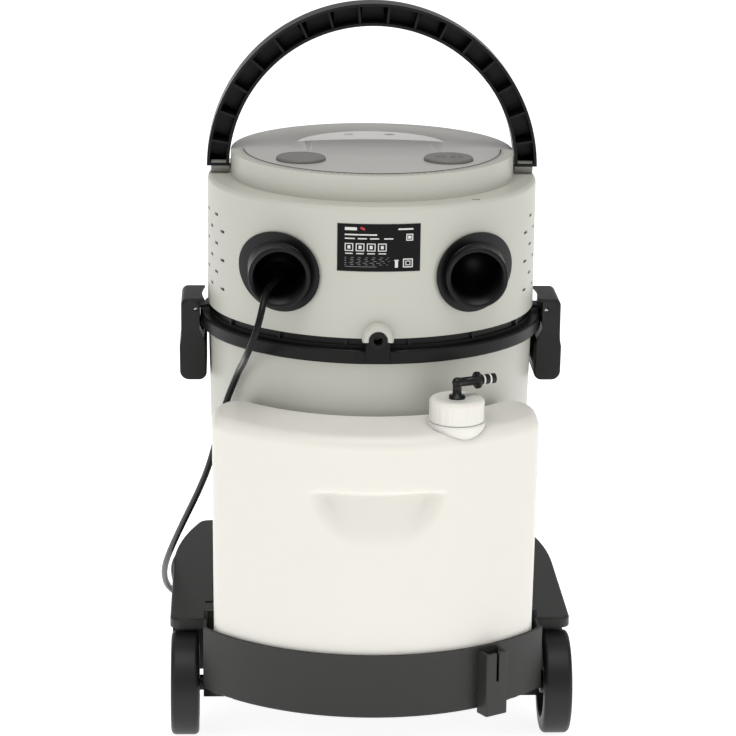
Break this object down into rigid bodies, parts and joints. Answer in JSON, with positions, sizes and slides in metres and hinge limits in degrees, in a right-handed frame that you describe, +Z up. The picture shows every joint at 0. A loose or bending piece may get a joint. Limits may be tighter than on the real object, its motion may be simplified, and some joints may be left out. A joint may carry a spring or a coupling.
{
  "type": "wet and dry spray extraction cleaner",
  "caption": "Upright drum-type wet and dry floor cleaner on a wheeled trolley, with a latched motor head, folding handle, rear solution tank and mains lead.",
  "frame": {"origin": "on the floor under the centre of the machine's plan, its mains lead left out", "axes": "+Z up; -Y is the rear, where the solution tank stands and the two hose ports point; +X is to the right when the rear is looked at"},
  "size_m": [0.4342, 0.7493, 0.752],
  "materials": {
    "head_grey": "fine satin moulded ABS, warm light grey",
    "tank_grey": "satin moulded polypropylene, warm light grey",
    "plate_grey": "satin mid grey cover plate",
    "pad_grey": "textured mid grey plastic",
    "panel_white": "smooth pale panel",
    "base_black": "black moulded polypropylene with a fine grain",
    "gloss_black": "smooth black nylon",
    "tyre_black": "smooth black wheel tread",
    "wheel_black": "black wheel plastic",
    "steel": "zinc-plated steel",
    "rubber_black": "black flexible PVC",
    "seal_pale": "pale flexible rubber",
    "tank_milky": "milky blow-moulded polyethylene",
    "cap_white": "white moulded plastic",
    "label_black": null,
    "motor_metal": "pressed and turned metal",
    "inner_plastic": "black internal plastic",
    "brass_pins": "nickel-plated brass",
    "foam": "open-cell foam sleeve"
  },
  "bodies": {
    "machine": {"head_shell": "head_grey", "top_cover": "head_grey", "recovery_tank": "tank_grey", "top_plate": "plate_grey", "crescent_panel": "panel_white", "trolley_base": "base_black", "accessory_clip": "base_black", "tank_ring": "base_black", "head_base": "base_black", "exhaust_port_left": "base_black", "exhaust_port_right": "base_black", "suction_inlet": "base_black", "inlet_deflector": "base_black", "float_cage": "base_black", "rear_axle": "steel", "axle_retainers": "steel", "handle_pins": "steel", "latch_pins": "steel", "case_screws": "steel", "motor_bearings": "steel", "head_gasket": "rubber_black", "cord_gland": "rubber_black", "mains_cord": "rubber_black", "cord_coil": "rubber_black", "plug_body": "rubber_black", "pump_hose": "seal_pale", "rating_label": "label_black", "suction_motor": "motor_metal", "fan_housing": "motor_metal", "solution_pump": "inner_plastic", "switch_carrier": "inner_plastic", "switch_modules": "inner_plastic", "switch_spring_left": "inner_plastic", "switch_spring_right": "inner_plastic", "plug_pins": "brass_pins", "foam_filter": "foam"},
    "handle": {"handle": "gloss_black", "handle_hubs": "pad_grey"},
    "latch_left": {"latch_left": "gloss_black"},
    "latch_right": {"latch_right": "gloss_black"},
    "foot_switch_left": {"foot_switch_left": "pad_grey"},
    "foot_switch_right": {"foot_switch_right": "pad_grey"},
    "rear_wheel_left": {"rear_tyre_left": "tyre_black", "rear_hub_left": "wheel_black"},
    "rear_wheel_right": {"rear_tyre_right": "tyre_black", "rear_hub_right": "wheel_black"},
    "caster_left": {"caster_fork_left": "steel", "caster_pin_left": "steel"},
    "caster_right": {"caster_fork_right": "steel", "caster_pin_right": "steel"},
    "caster_roller_left": {"caster_wheel_left": "wheel_black"},
    "caster_roller_right": {"caster_wheel_right": "wheel_black"},
    "fan_rotor": {"impeller": "inner_plastic", "rotor": "steel"},
    "float": {"float_cup": "cap_white"},
    "solution_tank": {"solution_tank": "tank_milky"},
    "cap": {"tank_cap": "cap_white"},
    "elbow": {"outlet_elbow": "gloss_black", "outlet_seals": "seal_pale", "dip_tube": "seal_pale"}
  },
  "joints": [
    {"name": "handle_fold", "type": "hinge", "parent": "machine", "child": "handle", "pos_m": [0, 0, 0.582], "axis": [1, 0, 0], "range_deg": [0, 90]},
    {"name": "latch_left_open", "type": "hinge", "parent": "machine", "child": "latch_left", "pos_m": [-0.183, 0, 0.437], "axis": [0, 1, 0], "range_deg": [0, 45]},
    {"name": "latch_right_open", "type": "hinge", "parent": "machine", "child": "latch_right", "pos_m": [0.183, 0, 0.437], "axis": [0, -1, 0], "range_deg": [0, 45]},
    {"name": "vacuum_switch_press", "type": "slide", "parent": "machine", "child": "foot_switch_left", "axis": [0, 0, -1], "range_m": [0, 0.004], "stiffness_N_per_m": 600, "springref_m": -0.005, "deforming": ["switch_spring_left"]},
    {"name": "pump_switch_press", "type": "slide", "parent": "machine", "child": "foot_switch_right", "axis": [0, 0, -1], "range_m": [0, 0.004], "stiffness_N_per_m": 600, "springref_m": -0.005, "deforming": ["switch_spring_right"]},
    {"name": "rear_wheel_left_spin", "type": "hinge", "parent": "machine", "child": "rear_wheel_left", "pos_m": [-0.1931, -0.107, 0.054], "axis": [1, 0, 0], "continuous": true},
    {"name": "rear_wheel_right_spin", "type": "hinge", "parent": "machine", "child": "rear_wheel_right", "pos_m": [0.1931, -0.107, 0.054], "axis": [1, 0, 0], "continuous": true},
    {"name": "caster_left_swivel", "type": "hinge", "parent": "machine", "child": "caster_left", "pos_m": [-0.14, 0.15, 0.1], "axis": [0, 0, 1], "continuous": true},
    {"name": "caster_right_swivel", "type": "hinge", "parent": "machine", "child": "caster_right", "pos_m": [0.14, 0.15, 0.1], "axis": [0, 0, 1], "continuous": true},
    {"name": "caster_left_roll", "type": "hinge", "parent": "caster_left", "child": "caster_roller_left", "pos_m": [-0.14, 0.132, 0.03], "axis": [1, 0, 0], "continuous": true},
    {"name": "caster_right_roll", "type": "hinge", "parent": "caster_right", "child": "caster_roller_right", "pos_m": [0.14, 0.132, 0.03], "axis": [1, 0, 0], "continuous": true},
    {"name": "fan_spin", "type": "hinge", "parent": "machine", "child": "fan_rotor", "pos_m": [0, 0, 0.49], "axis": [0, 0, 1], "continuous": true},
    {"name": "float_rise", "type": "slide", "parent": "machine", "child": "float", "axis": [0, 0, 1], "range_m": [0, 0.04]},
    {"name": "solution_tank_lift", "type": "slide", "parent": "machine", "child": "solution_tank", "axis": [0, 0, 1], "range_m": [0, 0.025]},
    {"name": "cap_turn", "type": "hinge", "parent": "solution_tank", "child": "cap", "pos_m": [0.078, -0.197, 0.377], "axis": [0, 0, 1], "continuous": true},
    {"name": "elbow_swivel", "type": "hinge", "parent": "cap", "child": "elbow", "pos_m": [0.078, -0.197, 0.389], "axis": [0, 0, 1], "continuous": true}
  ]
}
